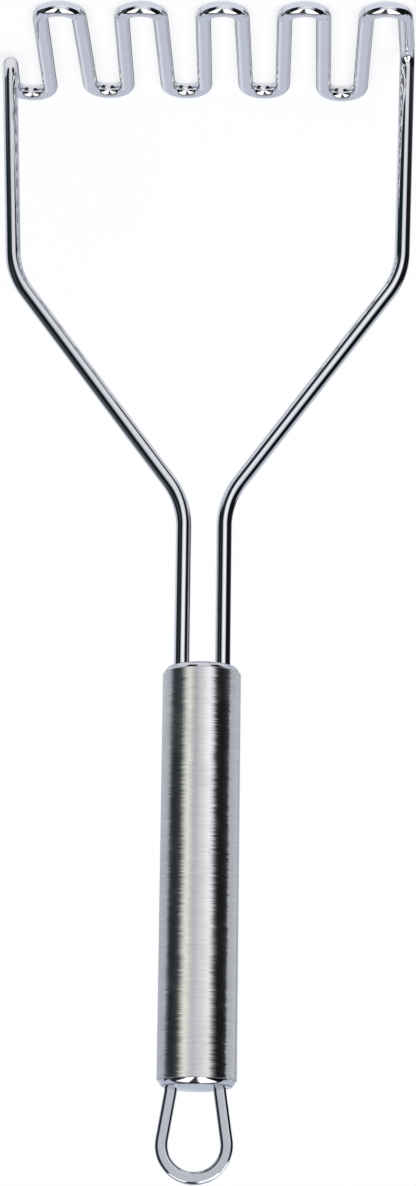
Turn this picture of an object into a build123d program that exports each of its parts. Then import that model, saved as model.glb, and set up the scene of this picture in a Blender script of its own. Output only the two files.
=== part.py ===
from build123d import *
from math import acos, degrees, radians, tan
import os

# A wire potato masher that stands on its head.
# +Z runs up the handle to the hanging loop, X is the width of the head and Y its depth.
# The origin lies under the handle, on the surface that the head stands on.
# Lengths are in millimetres and angles in degrees.

# Masher wire
wire_diameter = 4.0
leg_pitch = 10.7          # from one leg of the comb to the next, at mid depth
bend_count = 10           # hairpin bends: five in the near row and five in the far row
bend_radius = 5.1         # hairpin bend, to the wire's centre line
head_depth = 58.2         # over the outsides of the two rows of bends, at the middle of the comb
comb_shift = 1.6          # the comb sits this far towards +X between the side wires
comb_lead = 0.35          # and this far in front of the handle's axis
outer_reach = 1.8         # the outermost far bends stand this much further back than the rest
head_width = 107.2        # between the centre lines of the side wires, at the head
head_shift = 0.6          # the side wires meet the head this far towards +X
shoulder_width = 102.6    # between the same centre lines where they turn in
shoulder_height = 65.4    # of the turn-in above the surface
neck_width = 10.5         # between the centre lines of the two wires below the handle
neck_height = 127.7       # of the turn to the neck above the surface
near_corner_radius = 5.0  # from the near row up into the -X side wire, to the centre line
far_corner_radius = 7.5   # from the far row up into the +X side wire, to the centre line
far_corner_depth = 3.5    # the +X side wire meets the head this far behind the handle
shoulder_radius = 20.0    # of the four wide bends of the frame, to the centre line

# Handle tube
handle_height = 173.7     # of the tube's lower end above the surface
tube_diameter = 20.0
tube_wall = 1.0
tube_length = 103.5
edge_break = 0.12         # bevel on the tube's edges and on each spigot's end

# End caps
cap_step = 0.35           # from the tube's surface in to the cap's foot
brow_width = 0.95         # of the rounded brow between the foot and the end face, across the handle
brow_height = 1.5         # of the same, along the handle
brow_radius = 2.8
crown_height = 1.0        # of the domed end face above the brow
rim_round = 0.15          # on the edge between the brow and the end face
spigot_length = 4.0
spigot_clearance = 0.1
hole_clearance = 0.1      # around a wire in its hole

# Hanging loop
strip_width = 3.2         # the loop's flattened wire, seen from the front
strip_thickness = 2.5
strip_round = 0.9
loop_spacing = 12.2       # between the centre lines where the ends enter the cap
loop_shift = 0.3          # the ends enter the cap this far towards +X
eye_shift = 0.45          # the round end sits this far towards +X
loop_radius = 8.1         # of the round end, to the centre line
loop_length = 23.85       # from the tube's end to the centre line of the round end
entry_height = 2.45       # of the slight bend in each end above the tube's end
entry_radius = 8.0

# Welds inside the caps
weld_reach = 1.6          # of each wire's end past the cap's inner face
weld_width = 0.8          # of a bead at its foot, from the wire outwards
weld_top = 0.3            # of the same at its top
weld_height = 1.2
weld_clearance = 0.05

# Worked out
wire_radius = wire_diameter / 2
tube_radius = tube_diameter / 2
bore_radius = tube_radius - tube_wall
spigot_radius = bore_radius - spigot_clearance
foot_radius = tube_radius - cap_step
cap_height = brow_height + crown_height
tube_top = handle_height + tube_length
wire_top = handle_height + spigot_length + weld_reach
loop_start = tube_top - spigot_length - weld_reach
bend_line = head_depth / 2 - wire_radius - bend_radius


def touching_straight(first, first_radius, second, second_radius, side):
    """Ends of the straight that touches one bend on one side and the next bend on the other."""
    between = second - first
    swing = side * degrees(acos((first_radius + second_radius) / between.length))
    touch = between.normalized().rotate(Axis.Z, swing)
    return first + touch * first_radius, second - touch * second_radius


def corner_arc(before, corner, after, radius):
    """Arc that rounds one corner of a centre line."""
    to_before = (before - corner).normalized()
    to_after = (after - corner).normalized()
    reach = radius / tan(radians(to_before.get_angle(to_after)) / 2)
    return TangentArc(corner + to_before * reach, corner + to_after * reach, tangent=-to_before)


def centre_line(start, arcs, end):
    """One wire through the arcs in order, with a straight before, between and after them."""
    edges = []
    here = start
    for arc in arcs:
        edges += [Line(here, arc @ 0), arc]
        here = arc @ 1
    edges.append(Line(here, end))
    return Wire(edges)


def frame_corners(side, depth=0):
    """Corners of one side of the frame, from the head up to the wire's end in the handle."""
    return [
        Vector(side * head_width / 2 + head_shift, depth, wire_radius),
        Vector(side * shoulder_width / 2, 0, shoulder_height),
        Vector(side * neck_width / 2, 0, neck_height),
        Vector(side * neck_width / 2, 0, wire_top),
    ]


def bend_centres():
    """Centres of the hairpin bends from +X to -X, far row first."""
    centres = []
    last_far = (bend_count - 1) // 2 * 2
    for index in range(bend_count):
        row = 1 if index % 2 == 0 else -1
        place = ((bend_count - 1) / 2 - index) * leg_pitch + comb_shift
        depth = row * bend_line - comb_lead
        if index in (0, last_far):
            depth += outer_reach
        centres.append(Vector(place, depth, wire_radius))
    return centres


def masher_path():
    """Centre line of the one bent wire, from its +X end in the handle to its -X end."""
    head, shoulder, neck, top = frame_corners(1, far_corner_depth)
    last_head, last_shoulder, last_neck, last_top = frame_corners(-1)
    centres = bend_centres()
    stops = [head] + centres + [last_head]
    radii = [0] + [bend_radius] * bend_count + [0]
    straights = []
    for index in range(bend_count + 1):
        side = 1 if stops[index + 1].Y > stops[index].Y else -1
        straights.append(
            touching_straight(stops[index], radii[index], stops[index + 1], radii[index + 1], side)
        )
    arcs = [
        corner_arc(top, neck, shoulder, shoulder_radius),
        corner_arc(neck, shoulder, head, shoulder_radius),
        corner_arc(shoulder, head, straights[0][1], far_corner_radius),
    ]
    for index, centre in enumerate(centres):
        row = 1 if centre.Y > 0 else -1
        apex = centre + Vector(0, row * bend_radius, 0)
        arcs.append(ThreePointArc(straights[index][1], apex, straights[index + 1][0]))
    arcs += [
        corner_arc(straights[-1][0], last_head, last_shoulder, near_corner_radius),
        corner_arc(last_head, last_shoulder, last_neck, shoulder_radius),
        corner_arc(last_shoulder, last_neck, last_top, shoulder_radius),
    ]
    return centre_line(top, arcs, last_top)


def loop_path():
    """Centre line of the hanging loop, from its +X end in the handle to its -X end."""
    middle = Vector(eye_shift, 0, tube_top + loop_length - loop_radius)
    apex = middle + Vector(0, 0, loop_radius)
    sides = []
    for side in (1, -1):
        low = Vector(loop_shift + side * loop_spacing / 2, 0, loop_start)
        entry = Vector(low.X, 0, tube_top + entry_height)
        to_entry = entry - middle
        swing = side * degrees(acos(loop_radius / to_entry.length))
        touch = middle + to_entry.normalized().rotate(Axis.Y, -swing) * loop_radius
        sides.append((low, entry, touch))
    (low, entry, touch), (last_low, last_entry, last_touch) = sides
    arcs = [
        corner_arc(low, entry, touch, entry_radius),
        ThreePointArc(touch, apex, last_touch),
        corner_arc(last_touch, last_entry, last_low, entry_radius),
    ]
    return centre_line(low, arcs, last_low)


def swept(path, outline):
    """Solid that carries the outline along the path."""
    start = Plane(origin=path @ 0, x_dir=(1, 0, 0), z_dir=path % 0)
    return sweep(start * outline, path=path)


def round_wire(growth=0):
    """Section of the masher wire, larger all round by the growth."""
    return Circle(wire_radius + growth)


def flat_strip(growth=0):
    """Section of the hanging loop, larger all round by the growth."""
    return RectangleRounded(
        strip_width + 2 * growth, strip_thickness + 2 * growth, strip_round + growth
    )


def upright(outline, place, low, high):
    """Straight upright length of an outline, at a place along X."""
    return extrude(Plane(origin=(place, 0, low)) * outline, amount=high - low)


def make_tube():
    """Handle tube."""
    ring = Circle(tube_radius) - Circle(bore_radius)
    tube = upright(ring, 0, handle_height, tube_top)
    return chamfer(tube.edges().filter_by(GeomType.CIRCLE), edge_break)


def make_cap():
    """Plain cap whose seam lies on Z = 0, with the brow and dome above and the spigot below."""
    foot = (foot_radius, 0)
    rim = (foot_radius - brow_width, brow_height)
    inside = Polyline(
        (0, cap_height),
        (0, -spigot_length),
        (spigot_radius - edge_break, -spigot_length),
        (spigot_radius, edge_break - spigot_length),
        (spigot_radius, 0),
        foot,
    )
    brow = RadiusArc(foot, rim, -brow_radius)
    dome = TangentArc((0, cap_height), rim, tangent=(1, 0))
    cap = revolve(Plane.XZ * make_face(inside + brow + dome), Axis.Z)
    rings = cap.edges().filter_by(GeomType.CIRCLE).filter_by(lambda edge: edge.is_closed)
    return fillet(rings.sort_by(Axis.Z)[-1], rim_round)


def make_front_cap():
    """Cap at the tube's lower end, with a round hole for each wire of the neck."""
    cap = Pos(0, 0, handle_height) * Rot(180, 0, 0) * make_cap()
    low = handle_height - cap_height
    for side in (1, -1):
        cap -= upright(round_wire(hole_clearance), side * neck_width / 2, low, wire_top)
    return cap


def make_rear_cap():
    """Cap at the tube's upper end, with a slot for each end of the loop."""
    cap = Pos(0, 0, tube_top) * make_cap()
    high = tube_top + cap_height
    for side in (1, -1):
        place = loop_shift + side * loop_spacing / 2
        cap -= upright(flat_strip(hole_clearance), place, loop_start, high)
    return cap


def make_welds(section, shift, spacing, inner_face, way):
    """Two weld beads on a cap's inner face, each round one wire's end."""
    beads = []
    for side in (1, -1):
        place = shift + side * spacing / 2
        foot = Pos(place, 0, 0) * section(weld_width)
        top = Pos(place, 0, weld_height) * section(weld_top)
        bead = loft([foot, top], ruled=True)
        bead -= upright(section(weld_clearance), place, 0, weld_height)
        beads.append(Pos(0, 0, inner_face) * Rot(0 if way > 0 else 180, 0, 0) * bead)
    return Compound(children=beads)


parts = {
    "masher_wire": swept(masher_path(), round_wire()),
    "handle_tube": make_tube(),
    "front_cap": make_front_cap(),
    "rear_cap": make_rear_cap(),
    "hanging_loop": swept(loop_path(), flat_strip()),
    "wire_welds": make_welds(round_wire, 0, neck_width, handle_height + spigot_length, 1),
    "loop_welds": make_welds(
        flat_strip, loop_shift, loop_spacing, tube_top - spigot_length, -1
    ),
}

os.makedirs("parts", exist_ok=True)
for name, solid in parts.items():
    export_step(solid, f"parts/{name}.step")
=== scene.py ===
"""Wire potato masher with a brushed handle: its pieces, finishes and studio."""

import math

import bmesh
import bpy
from bpy.props import FloatProperty, FloatVectorProperty, IntProperty, PointerProperty
from bpy.types import Operator, Panel, PropertyGroup
from mathutils import Matrix, Quaternion, Vector


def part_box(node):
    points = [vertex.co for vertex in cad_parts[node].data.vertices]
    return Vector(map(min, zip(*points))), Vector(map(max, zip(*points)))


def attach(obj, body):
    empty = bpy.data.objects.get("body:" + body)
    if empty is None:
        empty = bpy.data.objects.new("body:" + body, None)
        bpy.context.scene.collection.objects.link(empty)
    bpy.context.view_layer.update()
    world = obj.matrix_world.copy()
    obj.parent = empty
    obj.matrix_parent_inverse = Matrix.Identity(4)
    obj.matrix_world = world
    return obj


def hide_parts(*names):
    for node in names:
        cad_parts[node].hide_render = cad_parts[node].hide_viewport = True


bl_info = {
    "name": "Wire Potato Masher",
    "version": (1, 0, 0),
    "blender": (4, 5, 0),
    "location": "View3D > Sidebar > Masher",
    "description": "Makes a wire potato masher with a brushed handle, and the studio it stands in",
    "category": "Object",
}

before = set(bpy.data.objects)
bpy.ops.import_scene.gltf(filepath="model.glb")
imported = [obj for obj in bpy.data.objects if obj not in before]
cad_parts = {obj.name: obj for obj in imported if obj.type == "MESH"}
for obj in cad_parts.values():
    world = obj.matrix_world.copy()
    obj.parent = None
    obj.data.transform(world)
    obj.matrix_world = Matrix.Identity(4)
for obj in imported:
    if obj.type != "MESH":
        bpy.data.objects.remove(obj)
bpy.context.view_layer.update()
wire_low, wire_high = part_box("masher_wire")
tube_low, tube_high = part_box("handle_tube")
loop_low, loop_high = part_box("hanging_loop")

UP = Vector((0, 0, 1))

# The camera's turn to the right, tilt down and roll in degrees, its place in metres, its lens and
# sensor in millimetres, and the range that it sees in metres. It hangs upside down, so that the
# head is at the top of the picture.
CAMERA_YAW = 1.408
CAMERA_TILT = 14.219
CAMERA_ROLL = -0.728
CAMERA_PLACE = Vector((-0.021405, -0.818864, 0.359690))
CAMERA_LENS = 99.56
CAMERA_SENSOR = 36
CAMERA_RANGE = (0.05, 100)

# How far the grain of each metal is squeezed along X, Y and Z, per metre
TUBE_GRAIN = (160, 160, 5200)
TUBE_STROKES = (110, 110, 7500)
CAP_GRAIN = (900, 900, 2500)
WELD_GRAIN = (1500, 1500, 1500)
WIRE_GRAIN = 40.0           # the same along a wire's length

# Depth of each metal's relief, and the other lengths in the finishes, in metres
WIRE_RELIEF = 0.0000012
STRIP_RELIEF = 0.000002
TUBE_RELIEF = 0.000002
CAP_RELIEF = 0.0000005
WELD_RELIEF = 0.00005
SEAM_SHADE_WIDTH = 0.0001        # painted shade of the seam groove at each end of the tube
RIM_SHADE_LOW = 0.00125         # band of painted shade round each cap where the bevel meets the end face, from the tube's end
RIM_SHADE_HIGH = 0.0015
RIM_SHADE_SOFT = 0.0001

# Share of its colour that the metal keeps in the painted shade at the tube's seams and round each
# cap
SEAM_PAINTED_SHADE = 0.4
RIM_PAINTED_SHADE = 0.35

# Brushing of the tube
TUBE_STRETCH = 0.85         # of its highlights
TUBE_STRETCH_TURN = 0.25    # a quarter turn, so that they run across the strokes
STROKE_SWAY = 0.125         # most that a stroke tips the surface

WELD_ROUGHNESS = 0.45

# Patches of the walls, as seen from the masher. Each has its turn to the right of the camera and
# its rise above the horizon in degrees, how far it leans as it rises, how soft its edges are,
# and its tone.
WALLS = (
    ((-250, -126), (-34, -13.5), 0, (50, 3), (0.86, 0.86, 0.89)),
    ((150, 250), (-36, -13.5), 0, (40, 3), (0.80, 0.80, 0.84)),
    ((-250, -105), (-10, 0), 0, (40, 8), (0.53, 0.55, 0.61)),
    ((-250, -158), (-34, -15), 0, (6, 4), (0.16, 0.17, 0.19)),
    ((158, 250), (-34, -15), 0, (6, 4), (0.14, 0.15, 0.17)),
    ((-178, -150), (0, 16), 0, (16, 8), (0.74, 0.77, 0.83)),
    ((96, 172), (-8, 8), 0, (30, 10), (0.46, 0.48, 0.53)),
    ((44, 142), (-24, 2), 0, (22, 9), (0.060, 0.060, 0.065)),
    ((40, 118), (-22, 6), 0, (18, 9), (0.008, 0.008, 0.009)),
    ((37, 84), (-62, -20), 0, (14, 6), (0.014, 0.014, 0.016)),
    ((47, 103), (-10, 30), 0.2, (18, 10), (0.009, 0.009, 0.011)),
    ((-60, -18), (-62, -24), 0, (14, 8), (0.012, 0.014, 0.016)),
    ((-109, -26), (-28, 28), -0.7, (14, 9), (0.010, 0.018, 0.020)),
    ((-108, -52), (12, 30), -0.7, (18, 8), (0.070, 0.074, 0.080)),
    ((-76, -61), (-14, 20), -0.9, (12, 12), (0.066, 0.070, 0.076)),
    ((-64, -24), (4, 26), 0, (14, 8), (0.006, 0.007, 0.009)),
    ((40, 103), (-2, 26), 0, (14, 8), (0.006, 0.006, 0.008)),
    ((-11, 35), (-46, 20), -0.3, (20, 10), (0.78, 0.79, 0.83)),
    ((0, 27), (-19, -7), 0, (16, 8), (1.05, 1.05, 1.08)),
)

# Patches of the ceiling, one unit above the masher. Each has its reach to the right and towards
# the camera, how soft its edges are, and its tone.
CEILING = (
    ((-30, -0.90), (-0.15, 4.0), 0.12, (0.020, 0.024, 0.028)),
    ((0.90, 30), (-0.15, 3.2), 0.12, (0.006, 0.006, 0.008)),
    ((-1.1, 1.1), (-0.12, 0.3), 0.08, (0.03, 0.032, 0.035)),
    ((-0.5, 0.5), (-0.5, 0.0), 0.3, (0.36, 0.37, 0.41)),
    ((-0.27, 0.03), (0.0, 1.9), 0.05, (0.05, 0.05, 0.055)),
    ((-1.06, -0.28), (0.17, 2.3), 0.07, (1.5, 1.47, 1.4)),
    ((0.10, 0.95), (0.06, 2.3), 0.07, (1.7, 1.7, 1.7)),
)

# Elevations in degrees between which the table turns into the walls, and the walls into the
# ceiling, and the least rise of a direction that still has a place on the ceiling
TABLE_EDGE = (-54, -44)
CEILING_EDGE = (18, 26)
LEAST_RISE = 0.01

# Lamps near the handle. Each has the piece that catches it, its turn to the right of the camera
# and its rise above the horizon in degrees, the height that it points at, its width, how tall it
# is, how far its top leans to the right in degrees, the share of its width that fades at each
# side, and its tone.
LAMP_DISTANCE = 0.3
LAMP_POWER = 4              # watts per square metre that give a lamp a tone of one
LAMPS = {
    "Left Handle Lamp": (
        "handle_tube", -36, 0, 0.190, 0.290, 0.34, 0, 0.5, (0.84, 0.825, 0.785)
    ),
    "Front Handle Lamp": (
        "handle_tube", 30, 0, 0.178, 0.220, 0.34, 24, 0.5, (0.32, 0.32, 0.32)
    ),
    "Right Handle Lamp": (
        "handle_tube", 115, 0, 0.190, 0.300, 0.34, 0, 0.1, (0.44, 0.45, 0.495)
    ),
    "Side Loop Lamp": (
        "hanging_loop_polished", 145, 0, 0.290, 0.200, 0.34, 0, 0.1, (0.7, 0.7, 0.7)
    ),
    "High Loop Lamp": (
        "hanging_loop_polished", 70, 40, 0.290, 0.260, 0.20, 0, 0.1, (1.4, 1.4, 1.4)
    ),
}


# Properties

def size(label, words, value):
    """A length that the user may change, in metres."""
    return FloatProperty(
        name=label,
        description=words,
        default=value,
        min=0,
        precision=4,
        unit="LENGTH",
        subtype="DISTANCE",
    )


def share(label, words, value):
    """A share from zero to one that the user may change."""
    return FloatProperty(name=label, description=words, default=value, min=0, max=1)


def colour(label, words, value):
    """A colour that the user may change."""
    return FloatVectorProperty(
        name=label, description=words, default=value, min=0, max=1, size=3, subtype="COLOR"
    )


class WireSettings(PropertyGroup):
    """Sizes of the bent wire."""
    diameter: size("Wire Diameter", "Thickness of the round wire", 0.004)
    leg_pitch: size("Leg Pitch", "From one leg of the comb to the next", 0.0107)
    bend_count: IntProperty(
        name="Bends", description="Hairpin bends in the comb", default=10, min=2
    )
    bend_radius: size("Bend Radius", "Hairpin bend, to the centre line", 0.0051)
    head_depth: size("Head Depth", "Over both rows of bends, at the middle of the comb", 0.0582)
    comb_shift: size("Comb Shift", "How far the comb sits to one side", 0.0016)
    comb_lead: size("Comb Lead", "How far the comb sits in front of the handle", 0.00035)
    outer_reach: size("Outer Reach", "How much further back the outermost far bends stand", 0.0018)
    head_width: size("Head Width", "Between the side wires at the head", 0.1072)
    head_shift: size("Head Shift", "How far the side wires lean to one side", 0.0006)
    shoulder_width: size("Shoulder Width", "Between the side wires where they turn in", 0.1026)
    shoulder_height: size("Shoulder Height", "Height of the turn-in", 0.0654)
    neck_width: size("Neck Width", "Between the wires below the handle", 0.0105)
    neck_height: size("Neck Height", "Height of the turn to the neck", 0.1277)
    near_corner_radius: size("Near Corner", "Bend up from the near row", 0.005)
    far_corner_radius: size("Far Corner", "Bend up from the far row", 0.0075)
    far_corner_depth: size("Far Corner Depth", "How far behind the handle it lands", 0.0035)
    shoulder_radius: size("Shoulder Radius", "Wide bends of the frame", 0.02)


class LoopSettings(PropertyGroup):
    """Sizes of the hanging loop."""
    strip_width: size("Strip Width", "Flattened wire, seen from the front", 0.0032)
    strip_thickness: size("Strip Thickness", "Flattened wire, seen from the side", 0.0025)
    strip_round: size("Edge Radius", "Round of the strip's edges", 0.0009)
    spacing: size("Spacing", "Between the ends where they enter the cap", 0.0122)
    shift: size("Shift", "How far the ends sit to one side of the handle's axis", 0.0003)
    eye_shift: size("Eye Shift", "How far the round end sits to the same side", 0.00045)
    radius: size("Loop Radius", "Round end, to the centre line", 0.0081)
    entry_height: size("Entry Height", "Of the slight bend above the tube's end", 0.00245)
    entry_radius: size("Entry Radius", "Round of the slight bend", 0.008)


class FinishSettings(PropertyGroup):
    """Colours and roughness of the metals."""
    polish_tint: colour("Polished Steel", "Colour of the wire", (0.86, 0.86, 0.88))
    cap_tint: colour("Cap Steel", "Colour of the two end caps", (0.74, 0.76, 0.80))
    strip_tint: colour("Loop Steel", "Colour of the hanging loop", (0.60, 0.62, 0.65))
    polish_roughness: share("Polish", "Roughness of the polished pieces", 0.05)
    tube_tint: colour("Brushed Steel", "Colour of the handle tube", (0.70, 0.70, 0.69))
    tube_roughness: share("Brushing", "Roughness of the handle tube", 0.2)
    weld_tint: colour("Weld Metal", "Colour of the weld beads", (0.42, 0.4, 0.38))


class StageSettings(PropertyGroup):
    """Floor, room and lights."""
    floor: colour("Floor", "Colour of the floor", (0.5, 0.5, 0.5))
    floor_size: size("Floor Size", "Side of the square floor", 40)
    floor_glow: share("Floor Glow", "Light that the floor gives off", 0.68)
    backdrop: colour("Backdrop", "Colour behind the floor", (1, 1, 1))
    wall: colour("Walls", "Colour of the room behind the masher", (0.57, 0.61, 0.70))
    table: colour("Table", "Colour of the room below the masher", (0.82, 0.82, 0.86))
    card: colour("Card", "Colour of the card in front of the head", (0.74, 0.77, 0.86))
    card_gap: size("Card Gap", "From the handle's plane to the card", 0.026)
    card_depth: size("Card Depth", "Of the card, towards the camera", 0.010)
    card_height: size("Card Height", "Of the card above the floor", 0.0002)


# Centre lines

def arc_points(centre, start, through, end, step=math.radians(3)):
    """Points of the arc from start to end by way of a third point."""
    spoke, last = start - centre, end - centre
    axis = spoke.cross(through - centre).normalized()
    sweep = math.atan2(axis.dot(spoke.cross(last)), spoke.dot(last)) % (2 * math.pi)
    count = max(2, math.ceil(sweep / step))
    return [centre + Quaternion(axis, sweep * index / count) @ spoke for index in range(count + 1)]


def corner_points(before, corner, after, radius):
    """Points of the arc that rounds one corner."""
    back, ahead = (before - corner).normalized(), (after - corner).normalized()
    half = back.angle(ahead) / 2
    centre = corner + (back + ahead).normalized() * (radius / math.sin(half))
    reach = radius / math.tan(half)
    inside = centre + (corner - centre).normalized() * radius
    return arc_points(centre, corner + back * reach, inside, corner + ahead * reach)


def touching_straight(first, first_radius, second, second_radius, side):
    """Ends of the straight that touches one bend on one side and the next on the other."""
    between = second - first
    swing = side * math.acos((first_radius + second_radius) / between.length)
    touch = Quaternion(UP, swing) @ between.normalized()
    return first + touch * first_radius, second - touch * second_radius


def wire_line(wire):
    """Centre line of the bent wire, from one end in the handle to the other."""
    radius = wire.diameter / 2
    bend_line = wire.head_depth / 2 - radius - wire.bend_radius

    def corners(side, depth):
        return [
            Vector((side * wire.head_width / 2 + wire.head_shift, depth, radius)),
            Vector((side * wire.shoulder_width / 2, 0, wire.shoulder_height)),
            Vector((side * wire.neck_width / 2, 0, wire.neck_height)),
            Vector((side * wire.neck_width / 2, 0, wire_high.z)),
        ]

    head, shoulder, neck, top = corners(1, wire.far_corner_depth)
    last_head, last_shoulder, last_neck, last_top = corners(-1, 0)
    middle = (wire.bend_count - 1) / 2
    last_far = (wire.bend_count - 1) // 2 * 2
    centres = []
    for index in range(wire.bend_count):
        row = 1 if index % 2 == 0 else -1
        place = (middle - index) * wire.leg_pitch + wire.comb_shift
        depth = row * bend_line - wire.comb_lead
        if index in (0, last_far):
            depth += wire.outer_reach
        centres.append(Vector((place, depth, radius)))
    stops = [head] + centres + [last_head]
    radii = [0] + [wire.bend_radius] * wire.bend_count + [0]
    straights = []
    for index in range(wire.bend_count + 1):
        side = 1 if stops[index + 1].y > stops[index].y else -1
        straights.append(
            touching_straight(stops[index], radii[index], stops[index + 1], radii[index + 1], side)
        )
    points = [top]
    points += corner_points(top, neck, shoulder, wire.shoulder_radius)
    points += corner_points(neck, shoulder, head, wire.shoulder_radius)
    points += corner_points(shoulder, head, straights[0][1], wire.far_corner_radius)
    for index, centre in enumerate(centres):
        row = 1 if centre.y > 0 else -1
        apex = centre + Vector((0, row * wire.bend_radius, 0))
        points += arc_points(centre, straights[index][1], apex, straights[index + 1][0])
    points += corner_points(straights[-1][0], last_head, last_shoulder, wire.near_corner_radius)
    points += corner_points(last_head, last_shoulder, last_neck, wire.shoulder_radius)
    points += corner_points(last_shoulder, last_neck, last_top, wire.shoulder_radius)
    return points + [last_top]


def loop_line(loop):
    """Centre line of the hanging loop, from one end in the handle to the other."""
    centre = Vector((loop.eye_shift, 0, loop_high.z - loop.strip_width / 2 - loop.radius))
    sides = []
    for side in (1, -1):
        low = Vector((loop.shift + side * loop.spacing / 2, 0, loop_low.z))
        entry = Vector((low.x, 0, tube_high.z + loop.entry_height))
        between = entry - centre
        swing = side * math.acos(loop.radius / between.length)
        touch = centre + Quaternion((0, 1, 0), -swing) @ between.normalized() * loop.radius
        sides.append((low, entry, touch))
    (low, entry, touch), (last_low, last_entry, last_touch) = sides
    points = [low]
    points += corner_points(low, entry, touch, loop.entry_radius)
    points += arc_points(centre, touch, centre + UP * loop.radius, last_touch)
    points += corner_points(last_touch, last_entry, last_low, loop.entry_radius)
    return points + [last_low]


# Meshes

def round_section(radius, count=48):
    """Outline of a round wire."""
    turns = [2 * math.pi * index / count for index in range(count)]
    return [Vector((math.cos(turn), math.sin(turn))) * radius for turn in turns]


def strip_section(width, thickness, corner, steps=8, flats=4):
    """Outline of a flattened wire."""
    section = []
    half_wide, half_thick = width / 2 - corner, thickness / 2 - corner
    corners = [(1, 1), (-1, 1), (-1, -1), (1, -1)]
    for quarter, (across, through) in enumerate(corners):
        middle = Vector((across * half_wide, through * half_thick))
        for index in range(steps + 1):
            turn = math.pi / 2 * (quarter + index / steps)
            out = Vector((math.cos(turn), math.sin(turn)))
            section.append(middle + out * corner)
        here = section[-1]
        ahead = corners[(quarter + 1) % 4]
        goal = Vector((ahead[0] * half_wide, ahead[1] * half_thick)) + out * corner
        for index in range(1, flats):
            section.append(here.lerp(goal, index / flats))
    return section


def sweep_mesh(name, points, section):
    """Mesh that carries a section along a centre line, its UV map round it and along it."""
    tangents = []
    for index, point in enumerate(points):
        before = points[max(index - 1, 0)]
        after = points[min(index + 1, len(points) - 1)]
        into, out = (point - before).normalized(), (after - point).normalized()
        tangents.append((into + out).normalized())
    side = Vector((1, 0, 0))
    work = bmesh.new()
    marks = work.loops.layers.uv.new("UVMap")
    rings, lengths, length = [], [], 0
    for index, point in enumerate(points):
        if index:
            turn = tangents[index - 1].rotation_difference(tangents[index])
            side = turn @ side
            length += (point - points[index - 1]).length
        side = (side - tangents[index] * side.dot(tangents[index])).normalized()
        other = tangents[index].cross(side)
        ring = [point + side * place.x + other * place.y for place in section]
        rings.append([work.verts.new(place) for place in ring])
        lengths.append(length)
    count = len(section)
    for index in range(len(points) - 1):
        for here in range(count):
            ahead = (here + 1) % count
            low, high = rings[index], rings[index + 1]
            face = work.faces.new((low[here], low[ahead], high[ahead], high[here]))
            face.smooth = True
            edges = ((here, index), (here + 1, index), (here + 1, index + 1), (here, index + 1))
            for loop, (around, along) in zip(face.loops, edges):
                loop[marks].uv = (around / count, lengths[along])
    for ring, end in ((rings[0], -1), (rings[-1], 1)):
        face = work.faces.new(ring[::end])
        for edge in face.edges:
            edge.smooth = False
    mesh = bpy.data.meshes.new(name)
    work.to_mesh(mesh)
    work.free()
    return mesh


def add_piece(name, mesh, node, material):
    """Object of a mesh that stands for a CAD node, rides on the part and wears a finish."""
    piece = bpy.data.objects.new(name, mesh)
    bpy.context.scene.collection.objects.link(piece)
    mesh.materials.append(material)
    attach(piece, "root")
    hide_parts(node)
    return piece


# Shader nodes

def node(tree, kind, inputs=None, **options):
    """Shader node with its options, and with each input set or linked."""
    made = tree.nodes.new(kind)
    for name, value in options.items():
        setattr(made, name, value)
    for name, value in (inputs or {}).items():
        if isinstance(value, bpy.types.NodeSocket):
            tree.links.new(value, made.inputs[name])
        else:
            made.inputs[name].default_value = value
    return made


def reckon(tree, operation, first, second=0.0):
    """Result of one sum."""
    return node(tree, "ShaderNodeMath", {0: first, 1: second}, operation=operation).outputs[0]


def stretched(tree, vector, scale):
    """Coordinates stretched by a factor for each axis."""
    return node(
        tree, "ShaderNodeVectorMath", {0: vector, 1: scale}, operation="MULTIPLY"
    ).outputs[0]


def mapped(tree, value, low, high, to_low=0.0, to_high=1.0, smooth=False):
    """Value carried from one range to another."""
    return node(
        tree,
        "ShaderNodeMapRange",
        {"Value": value, "From Min": low, "From Max": high, "To Min": to_low, "To Max": to_high},
        interpolation_type="SMOOTHSTEP" if smooth else "LINEAR",
    ).outputs["Result"]


def window(tree, value, low, high, soft):
    """One between two values and nothing outside them, with soft edges."""
    rise = mapped(tree, value, low - soft / 2, low + soft / 2, smooth=True)
    fall = mapped(tree, value, high - soft / 2, high + soft / 2, smooth=True)
    return reckon(tree, "SUBTRACT", rise, fall)


def blended(tree, factor, first, second):
    """Colour between two colours."""
    mix = node(tree, "ShaderNodeMix", {"Factor": factor}, data_type="RGBA")
    for socket, value in ((mix.inputs[6], first), (mix.inputs[7], second)):
        if isinstance(value, bpy.types.NodeSocket):
            tree.links.new(value, socket)
        else:
            socket.default_value = (*value, 1)
    return mix.outputs[2]


def new_group(name, inputs, outputs):
    """Empty node group with named sockets, and its input and output nodes."""
    tree = bpy.data.node_groups.new(name, "ShaderNodeTree")
    for label, kind, value in inputs:
        socket = tree.interface.new_socket(label, in_out="INPUT", socket_type=kind)
        if value is not None:
            socket.default_value = value
    for label, kind in outputs:
        tree.interface.new_socket(label, in_out="OUTPUT", socket_type=kind)
    return tree, node(tree, "NodeGroupInput"), node(tree, "NodeGroupOutput")


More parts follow.
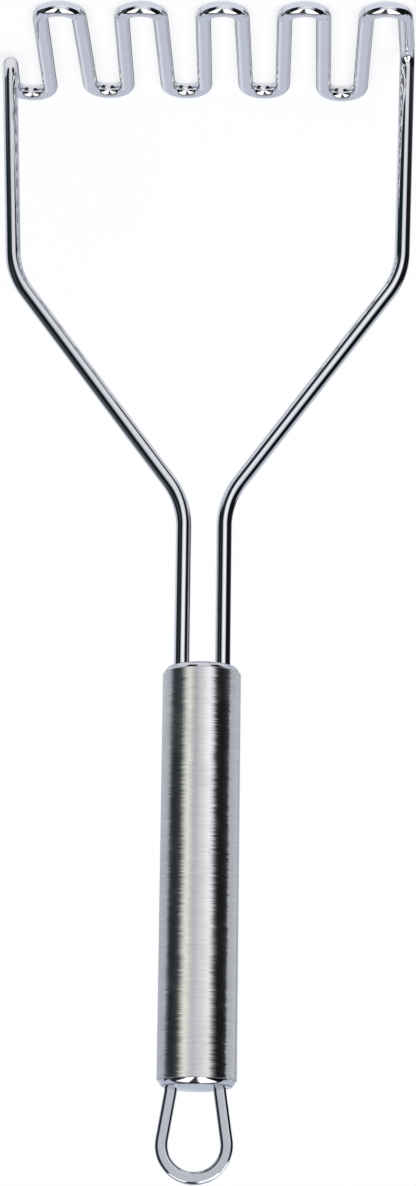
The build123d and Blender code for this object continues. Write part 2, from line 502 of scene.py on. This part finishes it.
def drawn_grain():
    """Fine lines left by drawing, brushing or turning, as a height and a shade."""
    tree, source, target = new_group(
        "Drawn Grain",
        (("Vector", "NodeSocketVector", None), ("Contrast", "NodeSocketFloat", 0.5)),
        (("Height", "NodeSocketFloat"), ("Shade", "NodeSocketFloat")),
    )
    vector = source.outputs["Vector"]
    fine = node(tree, "ShaderNodeTexNoise", {"Vector": vector, "Scale": 1.0, "Detail": 3.0})
    broad = node(
        tree,
        "ShaderNodeTexNoise",
        {"Vector": stretched(tree, vector, (0.6, 0.6, 0.23)), "Scale": 1.0, "Detail": 2.0},
    )
    both = reckon(
        tree,
        "ADD",
        reckon(tree, "MULTIPLY", fine.outputs["Fac"], 0.6),
        reckon(tree, "MULTIPLY", broad.outputs["Fac"], 0.4),
    )
    swing = reckon(
        tree, "MULTIPLY", reckon(tree, "SUBTRACT", both, 0.5), source.outputs["Contrast"]
    )
    tree.links.new(both, target.inputs["Height"])
    tree.links.new(reckon(tree, "ADD", swing, 1.0), target.inputs["Shade"])
    return tree


def handling_marks():
    """Faint smudges and stray scratches from use, as an added roughness and a shade."""
    tree, source, target = new_group(
        "Handling Marks",
        (("Vector", "NodeSocketVector", None), ("Amount", "NodeSocketFloat", 0.5)),
        (("Roughness", "NodeSocketFloat"), ("Shade", "NodeSocketFloat")),
    )
    vector, amount = source.outputs["Vector"], source.outputs["Amount"]
    smudge = node(
        tree,
        "ShaderNodeTexNoise",
        {"Vector": vector, "Scale": 90.0, "Detail": 4.0, "Distortion": 0.6},
    )
    patches = mapped(tree, smudge.outputs["Fac"], 0.45, 0.75, smooth=True)
    scratch = node(
        tree,
        "ShaderNodeTexVoronoi",
        {"Vector": stretched(tree, vector, (1.0, 0.25, 0.4)), "Scale": 700.0},
        feature="DISTANCE_TO_EDGE",
    )
    lines = mapped(tree, scratch.outputs["Distance"], 0.0, 0.02, 1.0, 0.0)
    marks = reckon(tree, "MULTIPLY", lines, patches)
    dull = reckon(tree, "ADD", patches, marks)
    tree.links.new(reckon(tree, "MULTIPLY", dull, amount), target.inputs["Roughness"])
    fade = reckon(tree, "MULTIPLY", reckon(tree, "MULTIPLY", patches, amount), -1.0)
    tree.links.new(reckon(tree, "ADD", fade, 1.0), target.inputs["Shade"])
    return tree


def wrapped_length():
    """Coordinates that run round a wire and along it, from its UV map, with no join."""
    tree, source, target = new_group(
        "Wrapped Length",
        (
            ("UV", "NodeSocketVector", None),
            ("Around", "NodeSocketFloat", 8.0),
            ("Along", "NodeSocketFloat", 60.0),
        ),
        (("Vector", "NodeSocketVector"),),
    )
    parts = node(tree, "ShaderNodeSeparateXYZ", {"Vector": source.outputs["UV"]})
    turn = reckon(tree, "MULTIPLY", parts.outputs["X"], 2 * math.pi)
    around = source.outputs["Around"]
    joined = node(
        tree,
        "ShaderNodeCombineXYZ",
        {
            "X": reckon(tree, "MULTIPLY", reckon(tree, "COSINE", turn), around),
            "Y": reckon(tree, "MULTIPLY", reckon(tree, "SINE", turn), around),
            "Z": reckon(tree, "MULTIPLY", parts.outputs["Y"], source.outputs["Along"]),
        },
    )
    tree.links.new(joined.outputs["Vector"], target.inputs["Vector"])
    return tree


def shared_group(make):
    """Node group that is built once and used by several materials."""
    name = make.__name__.replace("_", " ").title()
    return bpy.data.node_groups.get(name) or make()


def use_group(tree, make, **inputs):
    """A shared node group placed in a material, with its inputs set or linked."""
    made = node(tree, "ShaderNodeGroup", node_tree=shared_group(make))
    for name, value in inputs.items():
        if isinstance(value, bpy.types.NodeSocket):
            tree.links.new(value, made.inputs[name])
        else:
            made.inputs[name].default_value = value
    return made.outputs


# Finishes

def new_material(name):
    """Empty material with its Principled shader."""
    material = bpy.data.materials.new(name)
    material.use_nodes = True
    return material, material.node_tree, material.node_tree.nodes["Principled BSDF"]


def shaded(tree, tint, *shades):
    """Colour darkened by several shades in turn."""
    colour_now = tint
    for shade in shades:
        colour_now = node(
            tree, "ShaderNodeVectorMath", {0: colour_now, "Scale": shade}, operation="SCALE"
        ).outputs[0]
    return colour_now


def finish_metal(tree, shader, tint, roughness, grain, marks, depth, *painted_shades):
    """Metal whose colour, roughness and relief follow its grain and marks, its colour also
    darkened by any painted shade given.
    """
    shader.inputs["Metallic"].default_value = 1
    tone = shaded(tree, tint, grain["Shade"], marks["Shade"], *painted_shades)
    tree.links.new(tone, shader.inputs["Base Color"])
    tree.links.new(
        reckon(tree, "ADD", marks["Roughness"], roughness), shader.inputs["Roughness"]
    )
    relief = node(
        tree, "ShaderNodeBump", {"Height": grain["Height"], "Strength": 1.0, "Distance": depth}
    )
    tree.links.new(relief.outputs["Normal"], shader.inputs["Normal"])


def polished_wire(name, tint, roughness, around, contrast, depth):
    """Bright drawn wire with faint lines along its length."""
    material, tree, shader = new_material(name)
    mapping = node(tree, "ShaderNodeUVMap", uv_map="UVMap")
    wrapped = use_group(
        tree, wrapped_length, UV=mapping.outputs["UV"], Around=around, Along=WIRE_GRAIN
    )["Vector"]
    place = node(tree, "ShaderNodeTexCoord").outputs["Object"]
    grain = use_group(tree, drawn_grain, Vector=wrapped, Contrast=contrast)
    marks = use_group(tree, handling_marks, Vector=place, Amount=0.03)
    finish_metal(tree, shader, tint, roughness, grain, marks, depth)
    return material


def brushed_tube(finish):
    """Steel tube brushed round its girth, with painted shade of the seam grooves at its ends."""
    material, tree, shader = new_material("Brushed Tube")
    place = node(tree, "ShaderNodeTexCoord").outputs["Object"]
    grain = use_group(
        tree, drawn_grain, Vector=stretched(tree, place, TUBE_GRAIN), Contrast=0.35
    )
    marks = use_group(tree, handling_marks, Vector=place, Amount=0.05)
    height = node(tree, "ShaderNodeSeparateXYZ", {"Vector": place}).outputs["Z"]
    # Painted shade: the tube's ends are darkened where the seam groove against each cap lies in
    # shade
    between = window(
        tree, height, tube_low.z + SEAM_SHADE_WIDTH, tube_high.z - SEAM_SHADE_WIDTH, 2 * SEAM_SHADE_WIDTH
    )
    painted_shade_factor = mapped(tree, between, 0.0, 1.0, SEAM_PAINTED_SHADE, 1.0)
    tint, roughness = tuple(finish.tube_tint), finish.tube_roughness
    finish_metal(tree, shader, tint, roughness, grain, marks, TUBE_RELIEF, painted_shade_factor)
    shader.inputs["Anisotropic"].default_value = TUBE_STRETCH
    shader.inputs["Anisotropic Rotation"].default_value = TUBE_STRETCH_TURN
    tangent = node(tree, "ShaderNodeTangent", direction_type="RADIAL", axis="Z").outputs["Tangent"]
    tree.links.new(tangent, shader.inputs["Tangent"])
    strokes = node(
        tree,
        "ShaderNodeTexNoise",
        {"Vector": stretched(tree, place, TUBE_STROKES), "Scale": 1.0, "Detail": 1.0},
    )
    sway = mapped(tree, strokes.outputs["Fac"], 0.0, 1.0, -STROKE_SWAY, STROKE_SWAY)
    swayed = node(tree, "ShaderNodeVectorMath", {0: tangent, "Scale": sway}, operation="SCALE")
    relief = shader.inputs["Normal"].links[0].from_socket
    leaning = node(
        tree, "ShaderNodeVectorMath", {0: relief, 1: swayed.outputs[0]}, operation="ADD"
    )
    straight = node(
        tree, "ShaderNodeVectorMath", {0: leaning.outputs[0]}, operation="NORMALIZE"
    )
    tree.links.new(straight.outputs[0], shader.inputs["Normal"])
    return material


def polished_cap(finish):
    """Turned and polished cap, with painted shade in a line round its end face, where the bevel
    meets the face.
    """
    material, tree, shader = new_material("Polished Cap")
    place = node(tree, "ShaderNodeTexCoord").outputs["Object"]
    grain = use_group(
        tree, drawn_grain, Vector=stretched(tree, place, CAP_GRAIN), Contrast=0.08
    )
    marks = use_group(tree, handling_marks, Vector=place, Amount=0.04)
    height = node(tree, "ShaderNodeSeparateXYZ", {"Vector": place}).outputs["Z"]
    # Painted shade: a dark band round each cap where the bevel meets the end face, standing in for
    # the shade of that recessed line
    rim_shade_band = reckon(
        tree,
        "ADD",
        window(tree, height, tube_high.z + RIM_SHADE_LOW, tube_high.z + RIM_SHADE_HIGH, RIM_SHADE_SOFT),
        window(tree, height, tube_low.z - RIM_SHADE_HIGH, tube_low.z - RIM_SHADE_LOW, RIM_SHADE_SOFT),
    )
    painted_shade_factor = mapped(tree, rim_shade_band, 0.0, 1.0, 1.0, RIM_PAINTED_SHADE)
    tint, roughness = tuple(finish.cap_tint), finish.polish_roughness
    finish_metal(tree, shader, tint, roughness, grain, marks, CAP_RELIEF, painted_shade_factor)
    return material


def weld_metal(finish):
    """Dull rippled bead."""
    material, tree, shader = new_material("Weld Metal")
    place = node(tree, "ShaderNodeTexCoord").outputs["Object"]
    grain = use_group(
        tree, drawn_grain, Vector=stretched(tree, place, WELD_GRAIN), Contrast=0.6
    )
    marks = use_group(tree, handling_marks, Vector=place, Amount=0.1)
    tint = tuple(finish.weld_tint)
    finish_metal(tree, shader, tint, WELD_ROUGHNESS, grain, marks, WELD_RELIEF)
    return material


def dress(name, material):
    """Gives a CAD node its finish."""
    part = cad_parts[name]
    part.data.materials.clear()
    part.data.materials.append(material)


# Studio

def patched(tree, shown, across, along, wide, deep, lean, soft, tone):
    """Colour with one soft-edged patch laid over it."""
    if lean:
        middle = sum(deep) / 2
        across = reckon(
            tree,
            "SUBTRACT",
            across,
            reckon(tree, "MULTIPLY", reckon(tree, "SUBTRACT", along, middle), lean),
        )
    mask = reckon(
        tree,
        "MULTIPLY",
        window(tree, across, *wide, soft[0]),
        window(tree, along, *deep, soft[1]),
    )
    return blended(tree, mask, shown, tone)


def sky(tree, settings):
    """Colour of the room in every direction: pale walls, dark flags and two overhead softboxes."""
    direction = node(tree, "ShaderNodeTexCoord").outputs["Generated"]
    turned = node(
        tree,
        "ShaderNodeVectorRotate",
        {"Vector": direction, "Angle": math.radians(180 + CAMERA_YAW)},
        rotation_type="Z_AXIS",
    ).outputs[0]
    parts = node(tree, "ShaderNodeSeparateXYZ", {"Vector": turned})
    right, front, rise = parts.outputs["X"], parts.outputs["Y"], parts.outputs["Z"]
    azimuth = reckon(tree, "MULTIPLY", reckon(tree, "ARCTAN2", right, front), 180 / math.pi)
    elevation = reckon(tree, "MULTIPLY", reckon(tree, "ARCSINE", rise), 180 / math.pi)
    wall, table = tuple(settings.wall), tuple(settings.table)
    shown = blended(tree, mapped(tree, elevation, *TABLE_EDGE, smooth=True), table, wall)
    above = shown
    for turn, climb, lean, soft, tone in WALLS:
        shown = patched(tree, shown, azimuth, elevation, turn, climb, lean, soft, tone)
    height = reckon(tree, "MAXIMUM", rise, LEAST_RISE)
    to_right = reckon(tree, "DIVIDE", right, height)
    to_front = reckon(tree, "DIVIDE", front, height)
    for wide, deep, soft, tone in CEILING:
        above = patched(tree, above, to_right, to_front, wide, deep, 0, (soft, soft), tone)
    return blended(tree, mapped(tree, elevation, *CEILING_EDGE, smooth=True), shown, above)


# Operators

class MASHER_OT_wire(Operator):
    """Bend the polished wire of the comb, frame and neck"""
    bl_idname = "masher.wire"
    bl_label = "Masher Wire"

    def execute(self, context):
        wire, finish = context.scene.masher_wire, context.scene.masher_finish
        tint, roughness = tuple(finish.polish_tint), finish.polish_roughness
        material = polished_wire(
            "Polished Wire", tint, roughness, around=9.0, contrast=0.06, depth=WIRE_RELIEF
        )
        section = round_section(wire.diameter / 2)
        mesh = sweep_mesh("masher_wire_polished", wire_line(wire), section)
        add_piece("masher_wire_polished", mesh, "masher_wire", material)
        return {"FINISHED"}


class MASHER_OT_handle(Operator):
    """Brush the handle tube"""
    bl_idname = "masher.handle"
    bl_label = "Handle Tube"

    def execute(self, context):
        dress("handle_tube", brushed_tube(context.scene.masher_finish))
        return {"FINISHED"}


class MASHER_OT_caps(Operator):
    """Polish the two end caps"""
    bl_idname = "masher.caps"
    bl_label = "End Caps"

    def execute(self, context):
        material = polished_cap(context.scene.masher_finish)
        dress("front_cap", material)
        dress("rear_cap", material)
        return {"FINISHED"}


class MASHER_OT_loop(Operator):
    """Bend the flattened wire of the hanging loop"""
    bl_idname = "masher.loop"
    bl_label = "Hanging Loop"

    def execute(self, context):
        loop, finish = context.scene.masher_loop, context.scene.masher_finish
        tint, roughness = tuple(finish.strip_tint), finish.polish_roughness
        material = polished_wire(
            "Polished Strip", tint, roughness, around=7.0, contrast=0.1, depth=STRIP_RELIEF
        )
        section = strip_section(loop.strip_width, loop.strip_thickness, loop.strip_round)
        mesh = sweep_mesh("hanging_loop_polished", loop_line(loop), section)
        add_piece("hanging_loop_polished", mesh, "hanging_loop", material)
        return {"FINISHED"}


class MASHER_OT_welds(Operator):
    """Give the hidden weld beads their metal"""
    bl_idname = "masher.welds"
    bl_label = "Weld Beads"

    def execute(self, context):
        material = weld_metal(context.scene.masher_finish)
        dress("wire_welds", material)
        dress("loop_welds", material)
        return {"FINISHED"}


class MASHER_OT_stage(Operator):
    """Set up the floor, the light and the camera"""
    bl_idname = "masher.stage"
    bl_label = "Floor, Light and Camera"

    def add(self, scene, name, data):
        """Object of some data, placed in the scene."""
        made = bpy.data.objects.new(name, data)
        scene.collection.objects.link(made)
        return made

    def set_camera(self, scene):
        """Camera that looks at the masher from in front and above, upside down."""
        data = bpy.data.cameras.new("Camera")
        camera = self.add(scene, "Camera", data)
        yaw, tilt, roll = (math.radians(turn) for turn in (CAMERA_YAW, CAMERA_TILT, CAMERA_ROLL))
        level = Vector((math.sin(yaw), math.cos(yaw), 0))
        ahead = level * math.cos(tilt) - UP * math.sin(tilt)
        down = level * math.sin(tilt) + UP * math.cos(tilt)
        right = down.cross(ahead)
        right, down = (
            right * math.cos(roll) + down * math.sin(roll),
            down * math.cos(roll) - right * math.sin(roll),
        )
        turn = Matrix((right, -down, -ahead)).transposed().to_4x4()
        camera.matrix_world = Matrix.Translation(CAMERA_PLACE) @ turn
        data.lens = CAMERA_LENS
        data.sensor_width = CAMERA_SENSOR
        data.clip_start, data.clip_end = CAMERA_RANGE
        scene.camera = camera

    def set_room(self, scene, settings):
        """Room that the metals reflect, behind a plain backdrop for the camera."""
        world = bpy.data.worlds.new("Studio")
        scene.world = world
        world.use_nodes = True
        tree = world.node_tree
        seen = node(tree, "ShaderNodeLightPath").outputs["Is Camera Ray"]
        tone = blended(tree, seen, sky(tree, settings), tuple(settings.backdrop))
        tree.links.new(tone, tree.nodes["Background"].inputs["Color"])

    def add_lamp(self, scene, name, piece, turn, rise, height, width, tall, lean, fade, tone):
        """Soft lamp beside the handle that only one piece catches."""
        lamp = bpy.data.lights.new(name, "AREA")
        lamp.shape = "RECTANGLE"
        lamp.size, lamp.size_y = width, tall
        lamp.color = [part / max(tone) for part in tone]
        lamp.energy = LAMP_POWER * width * tall * max(tone)
        lamp.use_nodes = True
        tree = lamp.node_tree
        across = node(tree, "ShaderNodeNewGeometry").outputs["Parametric"]
        across = node(tree, "ShaderNodeSeparateXYZ", {"Vector": across}).outputs["X"]
        bright = window(tree, across, fade / 2, 1 - fade / 2, fade)
        tree.links.new(bright, tree.nodes["Emission"].inputs["Strength"])
        made = self.add(scene, name, lamp)
        turn, rise, lean = (math.radians(value) for value in (turn + CAMERA_YAW, rise, lean))
        level = Vector((-math.sin(turn), -math.cos(turn), 0))
        out = level * math.cos(rise) + UP * math.sin(rise)
        left = UP.cross(level)
        top = out.cross(left)
        left, top = (
            left * math.cos(lean) + top * math.sin(lean),
            top * math.cos(lean) - left * math.sin(lean),
        )
        made.matrix_world = (
            Matrix.Translation(out * LAMP_DISTANCE + UP * height)
            @ Matrix((left, top, out)).transposed().to_4x4()
        )
        made.visible_camera = False
        caught = bpy.data.collections.new(name)
        caught.objects.link(scene.objects[piece])
        made.light_linking.receiver_collection = caught

    def add_sheet(self, scene, name, low, high, height, finish, tint, light, glow):
        """Level sheet between two corners, dull and giving off some light."""
        mesh = bpy.data.meshes.new(name)
        corners = [low, (high[0], low[1]), high, (low[0], high[1])]
        mesh.from_pydata([(*corner, height) for corner in corners], [], [(0, 1, 2, 3)])
        material, _, shader = new_material(finish)
        shader.inputs["Roughness"].default_value = 1
        shader.inputs["Specular IOR Level"].default_value = 0
        shader.inputs["Base Color"].default_value = (*tint, 1)
        shader.inputs["Emission Color"].default_value = (*light, 1)
        shader.inputs["Emission Strength"].default_value = glow
        mesh.materials.append(material)
        return self.add(scene, name, mesh)

    def add_floor(self, scene, settings):
        """Floor that the masher stands on, left out of reflections."""
        reach, glow = settings.floor_size / 2, settings.floor_glow
        low, high, white = (-reach, -reach), (reach, reach), (1, 1, 1)
        floor = self.add_sheet(
            scene, "floor", low, high, 0, "Pale Floor", settings.floor, white, glow
        )
        floor.visible_glossy = False

    def add_card(self, scene, settings):
        """Pale card in front of the head, seen only in reflections."""
        near, black = -settings.card_gap, (0, 0, 0)
        low, high = (wire_low.x, near - settings.card_depth), (wire_high.x, near)
        card = self.add_sheet(
            scene, "card", low, high, settings.card_height, "Pale Card", black, settings.card, 1
        )
        card.visible_camera = card.visible_diffuse = card.visible_shadow = False

    def execute(self, context):
        scene = context.scene
        settings = scene.masher_stage
        self.set_camera(scene)
        self.set_room(scene, settings)
        for name, lamp in LAMPS.items():
            self.add_lamp(scene, name, *lamp)
        self.add_floor(scene, settings)
        self.add_card(scene, settings)
        scene.view_settings.view_transform = "Standard"
        return {"FINISHED"}


class MASHER_PT_panel(Panel):
    """Makers of the masher's pieces"""
    bl_idname = "MASHER_PT_panel"
    bl_label = "Potato Masher"
    bl_space_type = "VIEW_3D"
    bl_region_type = "UI"
    bl_category = "Masher"

    def draw(self, context):
        for operator in operators:
            self.layout.operator(operator.bl_idname)


operators = (
    MASHER_OT_wire,
    MASHER_OT_handle,
    MASHER_OT_caps,
    MASHER_OT_loop,
    MASHER_OT_welds,
    MASHER_OT_stage,
)
settings = {
    "masher_wire": WireSettings,
    "masher_loop": LoopSettings,
    "masher_finish": FinishSettings,
    "masher_stage": StageSettings,
}
classes = (*settings.values(), *operators, MASHER_PT_panel)


def register():
    for made in classes:
        bpy.utils.register_class(made)
    for name, group in settings.items():
        setattr(bpy.types.Scene, name, PointerProperty(type=group))


def unregister():
    for name in settings:
        delattr(bpy.types.Scene, name)
    for made in reversed(classes):
        bpy.utils.unregister_class(made)


def main():
    register()
    bpy.ops.masher.wire()
    bpy.ops.masher.handle()
    bpy.ops.masher.caps()
    bpy.ops.masher.loop()
    bpy.ops.masher.welds()
    bpy.ops.masher.stage()


if __name__ == "__main__":
    main()
